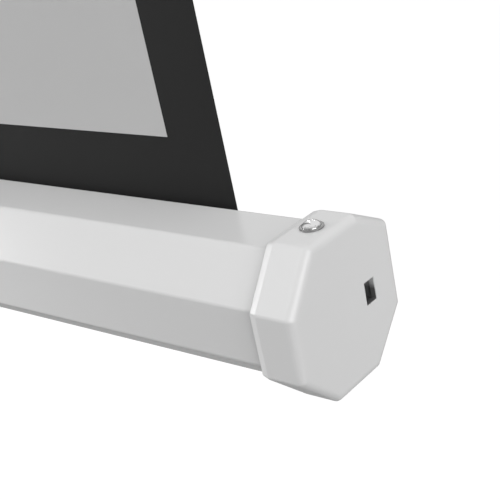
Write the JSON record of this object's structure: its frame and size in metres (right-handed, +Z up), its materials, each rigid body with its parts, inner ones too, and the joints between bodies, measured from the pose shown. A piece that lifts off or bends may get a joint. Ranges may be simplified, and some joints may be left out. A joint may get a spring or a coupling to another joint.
{
  "type": "tripod projection screen",
  "caption": "Pull-up projection screen that rolls into an eight-sided white case on a folding tripod stand with a telescopic pole.",
  "frame": {"origin": "on the floor under the middle of the opened screen's bounding box", "axes": "+X towards the end of the case with the spring, -Y towards the viewer, +Z up"},
  "size_m": [1.468, 0.6348, 2.1477],
  "materials": {
    "white_paint": "gloss white enamel",
    "white_plastic": "satin moulded white",
    "chrome": "bright plated",
    "zinc": "zinc plated steel",
    "black_plastic": "fine-grained black moulding",
    "rubber": "matt black",
    "aluminium": "satin anodised",
    "screen_cloth": "matt white coated cloth with a black border"
  },
  "bodies": {
    "stand": {"outer_pole": "white_paint", "pole_plug": "black_plastic", "pole_clamp": "black_plastic", "leg_hub": "black_plastic", "rear_leg_pin": "zinc", "right_leg_pin": "zinc", "left_leg_pin": "zinc"},
    "extension": {"inner_pole": "aluminium", "pole_bush": "black_plastic", "pole_cap": "black_plastic", "top_hook": "zinc"},
    "clamp_knob": {"clamp_knob": "black_plastic"},
    "carriage": {"carriage": "black_plastic", "swivel_bolt": "zinc", "swivel_washer": "black_plastic"},
    "carriage_knob": {"carriage_knob": "black_plastic"},
    "case": {"case_shell": "white_paint", "end_cap_right": "white_plastic", "end_cap_left": "white_plastic", "bearing_right": "black_plastic", "bearing_left": "black_plastic", "cap_screw_right": "chrome", "cap_screw_left": "chrome", "carry_handle": "black_plastic", "case_bracket": "zinc", "spring_shaft": "zinc", "screen_fabric": "screen_cloth"},
    "roller": {"roller_tube": "zinc", "fabric_roll": "screen_cloth", "spring_plug": "black_plastic", "idler_plug": "black_plastic", "spring_anchor": "black_plastic", "roller_spring": "zinc"},
    "slat": {"top_slat": "aluminium", "slat_cap_right": "black_plastic", "slat_cap_left": "black_plastic", "pull_handle": "black_plastic", "slat_hook": "zinc"},
    "brace_collar": {"brace_collar": "black_plastic", "rear_collar_rivet": "zinc", "right_collar_rivet": "zinc", "left_collar_rivet": "zinc"},
    "rear_leg": {"rear_leg": "white_paint", "rear_foot": "rubber"},
    "rear_brace": {"rear_brace": "zinc", "rear_brace_rivet": "zinc"},
    "right_leg": {"right_leg": "white_paint", "right_foot": "rubber"},
    "right_brace": {"right_brace": "zinc", "right_brace_rivet": "zinc"},
    "left_leg": {"left_leg": "white_paint", "left_foot": "rubber"},
    "left_brace": {"left_brace": "zinc", "left_brace_rivet": "zinc"}
  },
  "joints": [
    {"name": "pole_extension", "type": "slide", "parent": "stand", "child": "extension", "axis": [0, 0, 1], "range_m": [-0.7, 0]},
    {"name": "clamp_knob_turn", "type": "hinge", "parent": "stand", "child": "clamp_knob", "pos_m": [0, -0.10315, 1.36], "axis": [0, 1, 0], "range_deg": [0, 720]},
    {"name": "case_height", "type": "slide", "parent": "stand", "child": "carriage", "axis": [0, 0, 1], "range_m": [-0.3, 0.2]},
    {"name": "carriage_knob_turn", "type": "hinge", "parent": "carriage", "child": "carriage_knob", "pos_m": [0, -0.10315, 1.08455], "axis": [0, 1, 0], "range_deg": [0, 720]},
    {"name": "case_swivel", "type": "hinge", "parent": "carriage", "child": "case", "pos_m": [0, -0.14065, 1.08455], "axis": [0, 1, 0], "range_deg": [0, 90]},
    {"name": "screen_pull", "type": "slide", "parent": "case", "child": "slat", "axis": [0, 0, 1], "range_m": [-0.9878, 0], "deforming": ["screen_fabric"]},
    {"name": "roller_spin", "type": "hinge", "parent": "case", "child": "roller", "pos_m": [0, -0.17155, 1.0805], "axis": [1, 0, 0], "range_deg": [-4400, 0]},
    {"name": "leg_fold", "type": "hinge", "parent": "stand", "child": "rear_leg", "pos_m": [0, -0.06515, 0.36], "axis": [-1, 0, 0], "range_deg": [0, 45.16]},
    {"name": "right_leg_fold", "type": "hinge", "parent": "stand", "child": "right_leg", "pos_m": [0.03291, -0.12215, 0.36], "axis": [0.5, 0.866, 0], "range_deg": [0, 45.17]},
    {"name": "left_leg_fold", "type": "hinge", "parent": "stand", "child": "left_leg", "pos_m": [-0.03291, -0.12215, 0.36], "axis": [0.5, -0.866, 0], "range_deg": [0, 45.17]},
    {"name": "collar_slide", "type": "slide", "parent": "stand", "child": "brace_collar", "axis": [0, 0, 1], "range_m": [0, 0.02922]},
    {"name": "rear_brace_turn", "type": "hinge", "parent": "brace_collar", "child": "rear_brace", "pos_m": [0, -0.06515, 0.28598], "axis": [-1, 0, 0], "range_deg": [0, 60.79]},
    {"name": "right_brace_turn", "type": "hinge", "parent": "brace_collar", "child": "right_brace", "pos_m": [0.03291, -0.12215, 0.28598], "axis": [0.5, 0.866, 0], "range_deg": [0, 60.79]},
    {"name": "left_brace_turn", "type": "hinge", "parent": "brace_collar", "child": "left_brace", "pos_m": [-0.03291, -0.12215, 0.28598], "axis": [0.5, -0.866, 0], "range_deg": [0, 60.79]}
  ],
  "couplings": [
    {"joint": "roller_spin", "follows": "screen_pull", "rad_per_m": 77.2},
    {"joint": "right_leg_fold", "follows": "leg_fold", "ratio": 1},
    {"joint": "left_leg_fold", "follows": "leg_fold", "ratio": 1},
    {"joint": "collar_slide", "follows": "leg_fold", "m_per_rad": 0.036822},
    {"joint": "rear_brace_turn", "follows": "leg_fold", "ratio": 1.3458},
    {"joint": "right_brace_turn", "follows": "leg_fold", "ratio": 1.3458},
    {"joint": "left_brace_turn", "follows": "leg_fold", "ratio": 1.3458}
  ]
}
